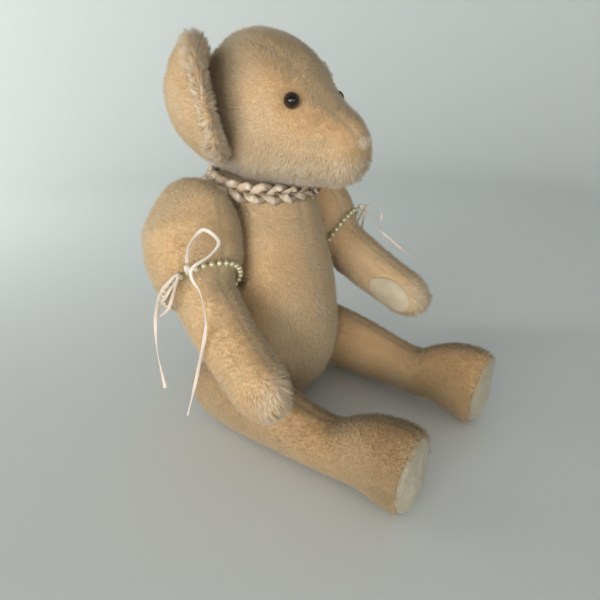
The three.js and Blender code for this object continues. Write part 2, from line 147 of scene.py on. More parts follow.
GUSSET_X = [9, 17, 27, 30, 16]

PILE = 7.6  # length of the mohair
INSET = 4.8  # the cloth lies this far under the tips
FAR = 20.0  # distances to seams and neighbours are not told apart past this
LOW_CLOTH = 1.6  # the cloth stays this high over the floor
FLAT = 1.2  # the gap between cloth and the face of a joint
NECK_FLAT = 1.4  # the same under the head
HEAD_FLAT = NECK_FLAT + 0.2
LIMB_FLAT = FLAT + 0.1
TOP_SEAM = 60  # the gusset's edges are seams above this height in the head's frame


# ---- Number tools ----
def unit(v):
    return v / np.maximum(np.linalg.norm(v, axis=-1, keepdims=True), 1e-9)


def bell(distance, width):
    return np.exp(-((distance / width) ** 2))


def keep_over(points, low, axis=2):
    """Lifts what lies lower than `low` along one axis."""
    points[..., axis] = np.maximum(points[..., axis], low)


def hashed(i, j, k, seed):
    h = (i * 73856093) ^ (j * 19349663) ^ (k * 83492791) ^ (seed * 2654435761)
    h = ((h ^ (h >> 13)) * 1274126177) & 0x7FFFFFFF
    return ((h ^ (h >> 11)) & 0xFFFF) / 32767.5 - 1


def noise(points, size, seed):
    """Smooth lumps of about `size`, from -1 to 1."""
    q = np.asarray(points) / size + 1000
    cell = np.floor(q).astype(np.int64)
    f = q - cell
    f = f * f * (3 - 2 * f)
    total = 0
    for step in np.ndindex(2, 2, 2):
        w = np.where(step, f, 1 - f)
        corner = cell + step
        value = hashed(corner[..., 0], corner[..., 1], corner[..., 2], seed)
        total = total + w[..., 0] * w[..., 1] * w[..., 2] * value
    return total


def spline(rows, s):
    """A Catmull-Rom curve through rows of values, at places s counted in rows."""
    rows = np.asarray(rows, float)
    last = len(rows) - 1
    i = np.clip(np.floor(s).astype(int), 0, last - 1)
    f = (s - i)[:, None]
    p = np.concatenate([[2 * rows[0] - rows[1]], rows, [2 * rows[-1] - rows[-2]]])
    a, b, c, d = p[i], p[i + 1], p[i + 2], p[i + 3]
    return 0.5 * (2 * b + (c - a) * f + (2 * a - 5 * b + 4 * c - d) * f**2
                  + (3 * b - a - 3 * c + d) * f**3)


def evenly(curve, count):
    """Places of `count` points spread evenly along a finely drawn curve, from 0 to 1."""
    length = np.concatenate([[0], np.cumsum(np.linalg.norm(np.diff(curve, axis=0), axis=1))])
    return np.interp(np.linspace(0, length[-1], count), length, np.linspace(0, 1, len(curve)))


def route_curve(points, step):
    """A smooth run of points through a route, about `step` apart."""
    fine = spline(points, np.linspace(0, len(points) - 1, 600))
    total = np.linalg.norm(np.diff(fine, axis=0), axis=1).sum()
    s = evenly(fine, max(8, int(total / step))) * (len(points) - 1)
    return spline(points, s), total


def middle_of(points):
    return (points.min(axis=0) + points.max(axis=0)) / 2


def sectors(u, v, count):
    """Which of `count` sectors round the middle each place is in."""
    return np.floor((np.arctan2(v, u) / TAU + 0.5) * count).astype(int) % count


# ---- Surfaces on a grid of rings ----
def ring_grid(stations, rows, columns, across, follow):
    """Points of a stuffed shape. across is the ring's first direction; with follow the ring
    stands square to the centreline, and otherwise it keeps `follow`'s direction."""
    values = np.array(stations, float)
    values[:, 3:] **= 2

    def rings(s):
        v = spline(values, s)
        v[:, 3:] = np.sqrt(np.clip(v[:, 3:], 0, None))
        return v

    fine = rings(np.linspace(0, len(values) - 1, 900))
    s = evenly(fine, rows) * (len(values) - 1)
    r = rings(s)
    r[0, 3:] = r[-1, 3:] = 0
    if follow is None:
        near = spline(values, np.clip(s + 1, 0, len(values) - 1))[:, :3]
        far = spline(values, np.clip(s - 1, 0, len(values) - 1))[:, :3]
        along = near - far
        along[:, 0] = 0
        second = np.cross(unit(along), across)
    else:
        second = np.repeat([follow], rows, axis=0)
    t = TAU * np.arange(columns) / columns
    first = np.cos(t)[None, :, None] * r[:, None, 3:4] * np.asarray(across, float)
    return r[:, None, :3] + first + np.sin(t)[None, :, None] * r[:, None, 4:5] * second[:, None]


def with_ends(grid):
    """One more row past each pole, drawn from the far side of the shape."""
    half = grid.shape[1] // 2
    before, after = (np.roll(row, half, axis=1) for row in (grid[1:2], grid[-2:-1]))
    return np.concatenate([before, grid, after])


def normals_of(grid):
    wide = with_ends(grid)
    down = wide[2:] - wide[:-2]
    round_ = np.roll(grid, -1, axis=1) - np.roll(grid, 1, axis=1)
    n = np.cross(down, round_)
    n[0] = n[1].mean(axis=0)
    n[-1] = n[-2].mean(axis=0)
    n = unit(n)
    outward = (n * (grid - grid.mean(axis=1, keepdims=True))).sum(axis=-1)[2:-2].mean()
    return n if outward > 0 else -n


def finer(grid, times):
    """The grid drawn `times` finer both ways, through the same points."""
    rows, columns = grid.shape[:2]
    wide = with_ends(grid)
    flat = wide.reshape(rows + 2, -1)
    s = np.linspace(1, rows, (rows - 1) * times + 1)
    grid = spline(flat, s).reshape(len(s), columns, 3)
    loop = np.concatenate([grid[:, -2:], grid, grid[:, :3]], axis=1).transpose(1, 0, 2)
    t = 2 + np.arange(columns * times) / times
    return spline(loop.reshape(len(loop), -1), t).reshape(len(t), len(s), 3).transpose(1, 0, 2)


def disc_faces(rings, spokes):
    """Faces of a middle point with rings of points round it."""
    faces = [(0, 1 + k, 1 + (k + 1) % spokes) for k in range(spokes)]
    for i in range(1, rings):
        faces += band(1 + (i - 1) * spokes, 1 + i * spokes, spokes)
    return faces


def band(a, b, count):
    """Quads between two rings of points, whose first points are a and b."""
    return [(a + k, b + k, b + (k + 1) % count, a + (k + 1) % count) for k in range(count)]


def grid_faces(rows, columns):
    """Faces of a grid whose first and last rows are one point each."""
    a, tip = 1 + (rows - 3) * columns, 1 + (rows - 2) * columns
    return disc_faces(rows - 2, columns) + [(a + c, tip, a + (c + 1) % columns)
                                            for c in range(columns)]


def turned(faces):
    """The faces seen from their other side."""
    return [tuple(reversed(f)) for f in faces]


def grid_points(grid):
    return np.concatenate([grid[:1, 0], grid[1:-1].reshape(-1, 3), grid[-1:, 0]])


def link(name, verts, faces, mm=True):
    mesh = bpy.data.meshes.new(name)
    scale = MM if mm else 1
    mesh.from_pydata((np.asarray(verts) * scale).tolist(), [], [tuple(map(int, f)) for f in faces])
    mesh.update()
    piece = bpy.data.objects.new(name, mesh)
    bpy.context.scene.collection.objects.link(piece)
    return piece


def smooth_piece(name, verts, faces, *materials):
    piece = link(name, verts, faces)
    piece.data.shade_smooth()
    for m in materials:
        piece.data.materials.append(m)
    return piece


def corners(mesh, layer="co"):
    """Each vertex's place, or its normal, as rows."""
    values = np.empty(len(mesh.vertices) * 3)
    mesh.vertices.foreach_get(layer, values)
    return values.reshape(-1, 3)


def triangles(faces):
    """Faces of three or four corners, cut into triangles."""
    cut = lambda f: [f[:3], (f[0], f[2], f[3])] if len(f) == 4 else [f]
    return np.array([t for f in faces for t in cut(f)])


PUFF = {"quality": 4, "mass": 0.15, "tension_stiffness": 12, "compression_stiffness": 12,
        "shear_stiffness": 4, "bending_stiffness": 0.15, "vertex_group_mass": "held",
        "use_pressure": True, "uniform_pressure_force": 4}
PUFF_FRAMES = 20
PUFF_KEPT = 0.6  # how much of the swelling the shape keeps


def inflate(grid, held, most=2.4):
    """Puffs a stuffed shape between its seams with cloth under pressure. held is 1 where a seam
    or a joint's flat keeps the cloth in place. The usual swelling is taken out again, so the
    panels stand proud of their seams and the size stays."""
    rows, columns = grid.shape[:2]
    piece = link("puff", grid_points(grid), grid_faces(rows, columns))
    group = piece.vertex_groups.new(name="held")
    weights = np.concatenate([[1.0], held[1:-1].ravel(), [1.0]])
    for i, w in enumerate(weights):
        if w > 0.02:
            group.add([i], float(min(w, 1)), "REPLACE")
    cloth = piece.modifiers.new("puff", "CLOTH")
    for key, value in PUFF.items():
        setattr(cloth.settings, key, value)
    cloth.settings.effector_weights.gravity = 0
    cloth.collision_settings.use_collision = False
    scene = bpy.context.scene
    for f in range(1, PUFF_FRAMES + 1):
        scene.frame_set(f)
    shown = piece.evaluated_get(bpy.context.evaluated_depsgraph_get())
    got = corners(shown.data) / MM
    bpy.data.objects.remove(piece)
    scene.frame_set(1)
    new = grid.copy()
    new[1:-1] = got[1:-1].reshape(rows - 2, columns, 3)
    n = normals_of(grid)
    rise = (np.nan_to_num(new - grid) * n).sum(axis=-1)
    free = held < 0.5
    rise = (rise - np.median(rise[free])) * (1 - held)
    for _ in range(3):
        beside = (np.roll(rise, 1, axis=1) + np.roll(rise, -1, axis=1)) / 2
        above = (np.roll(rise, 1, axis=0) + np.roll(rise, -1, axis=0)) / 2
        rise[1:-1] = (0.5 * rise + 0.25 * beside + 0.25 * above)[1:-1]
    rise[0], rise[-1] = rise[1].mean(), rise[-2].mean()
    return grid + n * np.clip(PUFF_KEPT * rise, -0.3 * most, most)[..., None]


class Skin:
    """A cloth surface as flat arrays: where its points are, which way they face and lie."""

    def __init__(self, points, normals, faces, comb, seam, cover, length):
        self.points, self.normals, self.faces = points, normals, faces
        self.comb, self.seam, self.cover, self.length = comb, seam, cover, length
        self.room = np.full(len(points), FAR)
        # painted light level of the pile: 1 where unshaded, lower where shade is painted into its
        # colour
        self.clean = np.ones(len(points))
        self.tris = triangles(faces)
        a, b, c = (points[self.tris[:, k]] for k in range(3))
        if (np.cross(b - a, c - a) * normals[self.tris[:, 0]]).sum() < 0:
            self.tris = self.tris[:, [0, 2, 1]]
            self.faces = turned(faces)

    def mirror(self):
        """The same skin on the other side of the bear."""
        other = copy.copy(self)
        other.points, other.normals, other.comb = (
            x * FLIP_X for x in (self.points, self.normals, self.comb))
        other.tris = self.tris[:, [0, 2, 1]]
        other.faces = turned(self.faces)
        other.room = self.room.copy()
        return other

    def tree(self):
        return BVHTree.FromPolygons(self.points.tolist(), self.tris.tolist())


def grid_skin(grid, comb, *values):
    """A skin from a grid, with its comb, seam, cover and length laid out the same way."""
    pack = lambda a: np.concatenate([a[:1, 0], a[1:-1].ravel(), a[-1:, 0]])
    return Skin(grid_points(grid), grid_points(normals_of(grid)), grid_faces(*grid.shape[:2]),
                grid_points(comb), *(pack(v) for v in values))


# ---- Mohair ----
TIDY = 0.5  # how far neighbouring tips draw together
TUFT = 2.9  # width of a tuft of locks
WIDTH = 0.40  # half the width of a lock of hairs
ROOTED = 0.5  # a lock starts this deep in the cloth
SHORTEST = 1.1  # shorter locks are left out
MOST = 40000  # locks on one piece
DENSITY = 1.25  # locks to a square millimetre
CLOTH = 1.2  # thickness of the cloth under the pile
LOWEST = 0.3  # nothing hangs lower than this over the floor


def locks(skin, chosen, lean=27, push=()):
    """Locks of pile rooted in a skin: four-sided slivers, as points, normals and tints.
    lean is how many degrees they lie over, and push the balls their tips keep out of."""
    tris = skin.tris if chosen is None else skin.tris[chosen]
    a, b, c = (skin.points[tris[:, k]] for k in range(3))
    area = np.linalg.norm(np.cross(b - a, c - a), axis=1) / 2
    weight = area * skin.cover[tris].mean(axis=1)
    count = int(min(weight.sum() * DENSITY, MOST))
    pick = np.searchsorted(np.cumsum(weight) / weight.sum(), rng.random(count))
    pick = pick.clip(0, len(tris) - 1)
    u, v = rng.random(count), rng.random(count)
    over = u + v > 1
    u[over], v[over] = 1 - u[over], 1 - v[over]
    share = np.stack([1 - u - v, u, v], axis=1)

    def mix(values):
        parts = share[..., None] if values.ndim == 2 else share
        return (values[tris[pick]] * parts).sum(axis=1)

    root, normal, comb = mix(skin.points), unit(mix(skin.normals)), mix(skin.comb)
    seam, length, room, clean = (mix(x) for x in (skin.seam, skin.length, skin.room, skin.clean))
    tangent = unit(comb - (comb * normal).sum(axis=1, keepdims=True) * normal)
    side = np.cross(normal, tangent)
    swirl = 0.5 * noise(root, 21, 3) + 0.45 * noise(root, 6, 4) + 0.55 * rng.standard_normal(count)
    tangent = tangent * np.cos(swirl)[:, None] + side * np.sin(swirl)[:, None]
    near_seam = bell(seam, 2.4)
    hang = np.clip(length - 1, 0, 1)  # long pile lies flatter, in paler streaks
    tilt = np.radians(lean + 7 * noise(root, 13, 5) + 11 * rng.standard_normal(count)
                      + 20 * near_seam + 38 * hang)
    tilt = np.clip(tilt, 0.05, 1.3)
    along = normal * np.cos(tilt)[:, None] + tangent * np.sin(tilt)[:, None]
    reach = PILE * length * rng.uniform(0.7, 1.2, count) * (1 - 0.35 * near_seam)
    reach = np.minimum(reach, np.maximum(room - 0.4, 0) / np.maximum(np.cos(tilt), 0.25))
    tip = root + along * reach[:, None]
    # Neighbouring tips draw together into tufts.
    wander = np.stack([noise(root, 9, s) for s in (6, 7, 8)], axis=1)
    coarse = np.round(3 * hang)[:, None]
    cell = np.concatenate([np.floor((root + 3 * wander) / (TUFT + 0.7 * coarse)), coarse], axis=1)
    key = np.unique(cell.astype(np.int64), axis=0, return_inverse=True)[1].ravel()
    number = np.bincount(key)
    middle = np.stack([np.bincount(key, tip[:, k]) / number for k in range(3)], axis=1)
    tuft = rng.random(len(number))[key]
    short = np.clip((length - 0.55) / 0.4, 0.15, 1)
    draw = (np.clip(TIDY * short + 0.5 * hang, 0, 0.8) * (0.55 + 0.45 * tuft))[:, None]
    tip = tip + (middle[key] - tip) * draw
    for centre, size in push:
        away = (tip - centre) / size
        far = np.linalg.norm(away, axis=1, keepdims=True)
        tip = np.where(far < 1, centre + unit(away) * size, tip)
    keep_over(tip, LOWEST + 0.05)
    keep = (np.linalg.norm(tip - root, axis=1) > SHORTEST) & (root[:, 2] > LOWEST)
    root, tip, normal, tuft, hang, near_seam, clean = (
        x[keep] for x in (root, tip, normal, tuft, hang, near_seam, clean))
    count = len(root)
    along = unit(tip - root)
    side = unit(np.cross(along, normal) + 1e-6)
    face = np.cross(side, along)
    width = (WIDTH * rng.uniform(0.75, 1.3, count))[:, None]
    base = root - normal * ROOTED
    ends = np.stack([base + side * width, base - side * width, base - face * width * 0.8, tip],
                    axis=1)
    keep_over(ends, LOWEST)
    soft = lambda v, w: unit(normal + v * w)
    facing = np.stack([soft(side, 1.4), soft(-side, 1.4), soft(-face, 0.4), soft(along, 1.0)],
                      axis=1)
    tint = np.zeros((count, 4, 4))
    tint[:, 3, 0] = 1
    tint[:, :, 1] = (0.5 * rng.random(count) + 0.5 * tuft)[:, None]
    streak = np.clip(2.4 * hang, 0, 1) * (0.15 + 0.85 * tuft)
    tint[:, :, 2] = np.maximum(0.7 * near_seam, streak)[:, None]
    # the alpha carries the painted light level, which darkens the lock as painted shade
    tint[:, :, 3] = clean[:, None]
    return ends.reshape(-1, 3), facing.reshape(-1, 3), tint.reshape(-1, 4)


LOCK_FACES = np.array([[1, 0, 3], [2, 1, 3], [0, 2, 3], [0, 1, 2]])


def cloth_shell(skin, faces):
    """A sheet of cloth with two sides and turned edges, from some or all of a skin's faces."""
    used = np.unique(np.concatenate([np.array(f) for f in faces]))
    where = np.full(len(skin.points), -1)
    where[used] = np.arange(len(used))
    outer, n = skin.points[used], skin.normals[used]
    edges, made = {}, []
    for f in faces:
        g = [int(where[k]) for k in f]
        made += [tuple(g), tuple(k + len(used) for k in reversed(g))]
        for p, q in zip(g, g[1:] + g[:1]):
            edges[(p, q)] = True
    made += [(q, p, p + len(used), q + len(used)) for p, q in edges if (q, p) not in edges]
    shell = np.concatenate([outer, outer - n * CLOTH])
    keep_over(shell, LOWEST)
    return shell, np.concatenate([n, -n]), made, used


def furred(name, skin, chosen_faces=None, **options):
    """One cloth panel with its pile, as one mesh."""
    faces, chosen = skin.faces, None
    if chosen_faces is not None:
        owner = np.concatenate([[k] * (len(f) - 2) for k, f in enumerate(skin.faces)])
        chosen = np.isin(owner, chosen_faces)
        faces = [skin.faces[k] for k in chosen_faces]
    shell, shell_n, shell_faces, used = cloth_shell(skin, faces)
    spikes, spike_n, tint = locks(skin, chosen, **options)
    starts = len(shell) + 4 * np.arange(len(spikes) // 4)[:, None, None]
    spike_faces = (starts + LOCK_FACES).reshape(-1, 3).tolist()
    piece = smooth_piece(name, np.concatenate([shell, spikes]), shell_faces + spike_faces, mohair)
    piece.data.normals_split_custom_set_from_vertices(np.concatenate([shell_n, spike_n]).tolist())
    layer = piece.data.color_attributes.new("pile", "FLOAT_COLOR", "POINT")
    shell_tint = np.tile([0.0, 0.5, 0.0, 1.0], (len(shell), 1))
    # the cloth under the pile takes the same painted shade
    shell_tint[:, 3] = np.tile(skin.clean[used], 2)
    layer.data.foreach_set("color", np.concatenate([shell_tint, tint]).ravel())
    return piece


# ---- Materials ----
class Nodes:
    """A short way to write a material's node tree."""

    def __init__(self, name, **uniform):
        self.material = bpy.data.materials.new(name)
        self.material.use_nodes = True
        self.tree = self.material.node_tree
        self.shader = self.tree.nodes["Principled BSDF"]
        for key, value in uniform.items():
            self.shader.inputs[key.replace("_", " ")].default_value = value

    def add(self, kind, **settings):
        node = self.tree.nodes.new("ShaderNode" + kind)
        for key, value in settings.items():
            if hasattr(node, key):
                setattr(node, key, value)
            else:
                node.inputs[key.replace("_", " ")].default_value = value
        return node

    def join(self, source, target):
        self.tree.links.new(source, target)

    def spot(self):
        if not hasattr(self, "_spot"):
            self._spot = self.add("TexCoord").outputs["Object"]
        return self._spot

    def cloud(self, scale, detail=3.0, stretch=None):
        node = self.add("TexNoise", Scale=scale, Detail=detail)
        source = self.spot()
        if stretch:
            mapping = self.add("Mapping", Scale=stretch)
            self.join(source, mapping.inputs["Vector"])
            source = mapping.outputs["Vector"]
        self.join(source, node.inputs["Vector"])
        return node.outputs["Fac"]

    def ramp(self, source, *stops):
        node = self.add("ValToRGB")
        elements = node.color_ramp.elements
        while len(elements) < len(stops):
            elements.new(0.5)
        for element, (place, color) in zip(elements, stops):
            element.position = place
            element.color = (*color, 1)
        self.join(source, node.inputs["Fac"])
        return node.outputs["Color"]

    def blend(self, factor, a, b, kind="MIX"):
        node = self.add("Mix", data_type="RGBA", blend_type=kind)
        for key, value in (("Factor", factor), (6, a), (7, b)):
            socket = node.inputs[key]
            if hasattr(value, "is_output"):
                self.join(value, socket)
            else:
                socket.default_value = (*value, 1) if isinstance(value, tuple) else value
        return node.outputs[2]

    def tone(self, source, low, high):
        return self.ramp(source, (0.3, low), (0.7, high))

    def times(self, a, b):
        return self.blend(1.0, a, b, "MULTIPLY")

    def paint(self, color):
        self.join(color, self.shader.inputs["Base Color"])

    def rough(self, source, low, high):
        node = self.add("MapRange")
        node.inputs["To Min"].default_value = low
        node.inputs["To Max"].default_value = high
        self.join(source, node.inputs["Value"])
        self.join(node.outputs["Result"], self.shader.inputs["Roughness"])

    def bump(self, height, depth, strength):
        node = self.add("Bump")
        node.inputs["Distance"].default_value = depth
        node.inputs["Strength"].default_value = strength
        self.join(height, node.inputs["Height"])
        self.join(node.outputs["Normal"], self.shader.inputs["Normal"])


PAINTED_SHADE = (0.55, 0.52, 0.47)  # painted shade: the colour the pile is multiplied towards where its painted light level is lowest


def mohair_material():
    m = Nodes("mohair", Sheen_Weight=0.3, Sheen_Roughness=0.4, Specular_IOR_Level=0.22)
    m.shader.inputs["Sheen Tint"].default_value = (1.0, 0.93, 0.82, 1)
    pile = m.add("Attribute", attribute_name="pile")
    parts = m.add("SeparateColor")
    m.join(pile.outputs["Color"], parts.inputs["Color"])
    tip, each, seam = (parts.outputs[k] for k in ("Red", "Green", "Blue"))
    # The roots' darker colour is partly the pile's own tone and partly painted shade down in the
    # pile.
    root = m.tone(m.cloud(9.0), (0.68, 0.49, 0.28), (0.76, 0.56, 0.33))
    tips = m.blend(each, (0.82, 0.62, 0.385), (0.98, 0.82, 0.60))
    faded = m.ramp(m.cloud(16.0), (0.35, (0.93, 0.92, 0.90)), (0.65, (1.0, 1.0, 1.0)))
    warm = m.ramp(m.cloud(11.0, 2.0), (0.42, (1.0, 1.0, 1.0)), (0.66, (1.0, 0.93, 0.83)))
    hair = m.times(m.times(m.blend(tip, root, tips), faded), warm)
    pale = m.blend(tip, (0.80, 0.58, 0.36), (0.98, 0.88, 0.71))
    # painted shade: the pile darkens where the painted light level in the attribute's alpha is low
    painted_shade_tint = m.blend(pile.outputs["Alpha"], PAINTED_SHADE, (1.0, 1.0, 1.0))
    m.paint(m.times(m.blend(seam, hair, pale), painted_shade_tint))
    m.rough(each, 0.62, 0.85)
    return m.material


mohair = mohair_material()


def suede_material(name, shade):
    m = Nodes(name, Sheen_Weight=0.25, Sheen_Roughness=0.5, Specular_IOR_Level=0.2)
    blot = m.tone(m.cloud(40.0, 4.0), (0.56, 0.50, 0.39), (0.72, 0.65, 0.53))
    nap = m.tone(m.cloud(900.0, 2.0), (0.86, 0.85, 0.83), (1, 1, 1))
    m.paint(m.times(m.times(blot, nap), shade))
    m.rough(m.cloud(300.0), 0.75, 0.95)
    m.bump(m.cloud(1400.0), 0.0004, 0.5)
    return m.material


def plain_material(name, tone, rough, bump=None, **uniform):
    """A material whose colour, roughness and bump each follow a cloud of its own."""
    m = Nodes(name, **uniform)
    cloud, low, high = tone
    m.paint(m.tone(m.cloud(*cloud), low, high))
    cloud, low, high = rough
    m.rough(m.cloud(*cloud), low, high)
    if bump:
        cloud, depth, strength = bump
        m.bump(m.cloud(*cloud), depth, strength)
    return m.material


def satin_material(name, low, high, scale, under=None):
    m = Nodes(name, Sheen_Weight=0.2, Specular_IOR_Level=0.6, Anisotropic=0.4)
    tone = m.tone(m.cloud(scale), low, high)
    weave = m.add("TexWave", Scale=700.0, Distortion=1.0)
    m.join(m.spot(), weave.inputs["Vector"])
    line = m.ramp(weave.outputs["Fac"], (0.2, (0.93, 0.92, 0.91)), (0.8, (1, 1, 1)))
    tone = m.times(tone, line)
    # Painted shade: the colour is blended towards a dark brown by a per-point attribute.
    if under is not None:
        plait_shade_node = m.add("Attribute", attribute_name="under")
        tone = m.blend(plait_shade_node.outputs["Fac"], tone, under)
    m.paint(tone)
    m.rough(m.cloud(90.0), 0.28, 0.42)
    m.bump(weave.outputs["Fac"], 0.0002, 0.3)
    return m.material


paw_suede = suede_material("paw_suede", (1.0, 0.96, 0.86))
# The foot pads are the paw suede darkened: painted shade. The paw pads' multiplier is their own
# warm tint.
foot_suede = suede_material("foot_suede", (0.60, 0.60, 0.54))
fibre = plain_material(
    "packed_fibre", ((120.0, 6.0, (1, 1, 3)), (0.62, 0.58, 0.50), (0.86, 0.83, 0.76)),
    ((60.0,), 0.85, 1.0), ((500.0, 6.0, (1, 1, 4)), 0.002, 0.8), Specular_IOR_Level=0.2)
bow_satin = satin_material("bow_satin", (0.80, 0.66, 0.55), (0.90, 0.80, 0.71), 30.0)
# The collar's dark brown is painted shade where its ribbons dip under each other and along their
# edges.
collar_satin = satin_material("collar_satin", (0.62, 0.43, 0.26), (1.0, 0.88, 0.70), 110.0,
                              under=(0.16, 0.085, 0.035))
board = plain_material(
    "hardboard", ((260.0, 6.0), (0.16, 0.09, 0.045), (0.30, 0.18, 0.09)),
    ((90.0,), 0.6, 0.85), ((900.0, 4.0), 0.0003, 0.5), Specular_IOR_Level=0.3)
steel = plain_material(
    "plated_steel", ((80.0, 4.0), (0.46, 0.46, 0.47), (0.62, 0.62, 0.63)),
    ((400.0, 3.0, (1, 1, 8)), 0.22, 0.45), ((700.0, 3.0, (1, 1, 6)), 0.0001, 0.3), Metallic=1.0)
pearl = plain_material(
    "pearl", ((120.0,), (0.58, 0.52, 0.32), (0.80, 0.74, 0.52)), ((200.0,), 0.16, 0.3),
    Metallic=0.35, Coat_Weight=0.8, Coat_Roughness=0.05, Specular_IOR_Level=0.7)
gilt = plain_material(
    "gilt_thread", ((300.0,), (0.42, 0.36, 0.14), (0.62, 0.55, 0.26)), ((200.0,), 0.3, 0.5),
    Metallic=0.8)
thread = plain_material(
    "nose_thread", ((200.0, 4.0, (4, 1, 1)), (0.40, 0.30, 0.20), (0.62, 0.50, 0.36)),
    ((300.0,), 0.45, 0.7), ((900.0, 3.0, (5, 1, 1)), 0.0003, 0.5),
    Sheen_Weight=0.2, Specular_IOR_Level=0.4)


def glass_eye_material(side):
    """Dark brown glass over a black pupil, by the distance from the eye's own axis."""
    m = Nodes(f"eye_glass_{side}", Coat_Weight=0.25, Coat_Roughness=0.01, Specular_IOR_Level=0.4)
    iris = m.add("Attribute", attribute_name="iris")
    speck = m.tone(m.cloud(500.0, 4.0), (0.8, 0.8, 0.8), (1.2, 1.2, 1.2))
    rings = m.ramp(iris.outputs["Fac"], (0.0, (0.002, 0.002, 0.002)),
                   (0.50, (0.003, 0.002, 0.002)), (0.60, (0.036, 0.012, 0.004)),
                   (0.86, (0.030, 0.010, 0.003)), (0.95, (0.004, 0.003, 0.002)))
    m.paint(m.times(rings, speck))
    m.rough(m.cloud(50.0), 0.02, 0.05)
    return m.material


# ---- The stuffed skins ----
C_BODY, C_LIMB, C_HEAD = 64, 44, 64  # points round each ring


def level_with(points, place, radius, gap):
    """Presses a surface flat where a joint's face meets it, on the joint's body side."""
    q = place.local(points)
    inside = np.hypot(q[..., 1], q[..., 2]) < radius
    q[..., 0] = np.where(inside, np.minimum(q[..., 0], gap), q[..., 0])
    return place.out(q), inside & (q[..., 0] > gap - 0.6)


def body_flats(points):
    marks = np.zeros(points.shape[:-1], bool)
    for place, radius in ((shoulder, 50), (hip, 54)):
        for side in (np.ones(3), FLIP_X):
            points, mark = level_with(points * side, place, radius, -FLAT)
            points = points * side
            marks |= mark
    q = neck.local(points)
    over = q[..., 2] > -FLAT
    q[..., 2] = np.minimum(q[..., 2], -FLAT)
    return neck.out(q), marks | over


def under_joints(points):
    """The middles of the body's joint flats, which no pose uncovers. They carry no pile."""
    marks = np.zeros(points.shape[:-1], bool)
    for place, radius in ((shoulder, 24), (hip, 28)):
        for side in (np.ones(3), FLIP_X):
            q = place.local(points * side)
            marks |= (np.hypot(q[..., 1], q[..., 2]) < radius) & (q[..., 0] > -4)
    q = neck.local(points)
    return marks | ((np.hypot(q[..., 0], q[..., 1]) < 30) & (q[..., 2] > -4))


def sewn(q, seam, groove, lumps, where=1, free=1):
    """Draws the seams in, (depth, width), and gives the cloth slow lumps, (height, size, seed)."""
    n = normals_of(q)
    q = q - n * (groove[0] * bell(seam, groove[1]) * where)[..., None]
    return q + n * (lumps[0] * noise(q, *lumps[1:]) * free)[..., None]


def body_skin():
    grid = ring_grid(BODY, 45, C_BODY, (1, 0, 0), (0, 1, 0))
    grid = grid - normals_of(grid) * INSET
    grid, flat = body_flats(grid)
    seam = np.abs(grid[..., 0])
    low = grid[..., 2] < 3
    held = np.maximum(bell(seam, 3.0), np.maximum(flat, low))
    grid = finer(inflate(grid, held), 2)
    grid, flat = body_flats(grid)
    seam = np.abs(grid[..., 0])
    grid = sewn(grid, seam, (1.5, 2.6), (0.7, 34, 11), free=1 - flat)
    keep_over(grid, LOW_CLOTH)
    comb = np.zeros_like(grid)
    comb[..., 1] = -0.25
    comb[..., 2] = -1
    return grid_skin(grid, comb, seam, 1.0 - under_joints(grid), np.ones_like(seam))


def head_seams(q):
    """Distance in the head's own frame to the gusset's edges above and the chin seam below."""
    edge = np.interp(q[..., 1], GUSSET_Y, GUSSET_X)
    across = np.abs(q[..., 0])
    below = np.where(q[..., 2] < 50, across, FAR)
    return np.where(q[..., 2] > TOP_SEAM, np.abs(across - edge), below)


def head_shape(q):
    """Presses in the eye sockets and levels the neck."""
    q = q.copy()
    for side, sign in SIDES:
        away = np.linalg.norm(q - EYES[side], axis=-1)
        q[..., 0] -= sign * 2.6 * bell(away, 12.0)
    keep_over(q, NECK_FLAT)
    return q


def head_skin():
    q = ring_grid(HEAD, 45, C_HEAD, (1, 0, 0), (0, 0, 1))
    q = q - normals_of(q) * INSET
    q = head_shape(q)
    seam = head_seams(q)
    held = np.maximum(bell(seam, 3.0), q[..., 2] < HEAD_FLAT)
    q = finer(inflate(q, held, 1.6), 2)
    keep_over(q, NECK_FLAT)
    seam = head_seams(q)
    q = sewn(q, seam, (1.1, 2.4), (0.6, 30, 12))
    keep_over(q, NECK_FLAT)
    cover = 1.0 - ((q[..., 2] < 4) & (np.hypot(q[..., 0], q[..., 1]) < 26))
    length = np.ones_like(seam)
    for eye in EYES.values():
        away = np.linalg.norm(q - eye, axis=-1)
        cover *= 1 - np.exp(-((away / 8.5) ** 6))
        length *= 1 - 0.45 * bell(away, 13.0)
    away = np.linalg.norm((q - NOSE) / NOSE_SIZE, axis=-1)
    cover *= 1 - np.exp(-(away ** 6))
    length *= 1 - 0.35 * bell(away, 2.4)
    jowl = bell(q[..., 2] - 12, 16.0) * np.clip((75 - q[..., 1]) / 40, 0, 1)
    chin = np.clip((-q[..., 1] - 95) / 25, 0, 1) * np.clip((52 - q[..., 2]) / 16, 0, 1)
    length += 1.2 * np.maximum(jowl, 0.7 * chin)
    comb = np.zeros_like(q)
    comb[..., 1] = 0.55
    comb[..., 2] = -0.8
    return grid_skin(head.out(q), head.aim(comb), seam, cover, length)


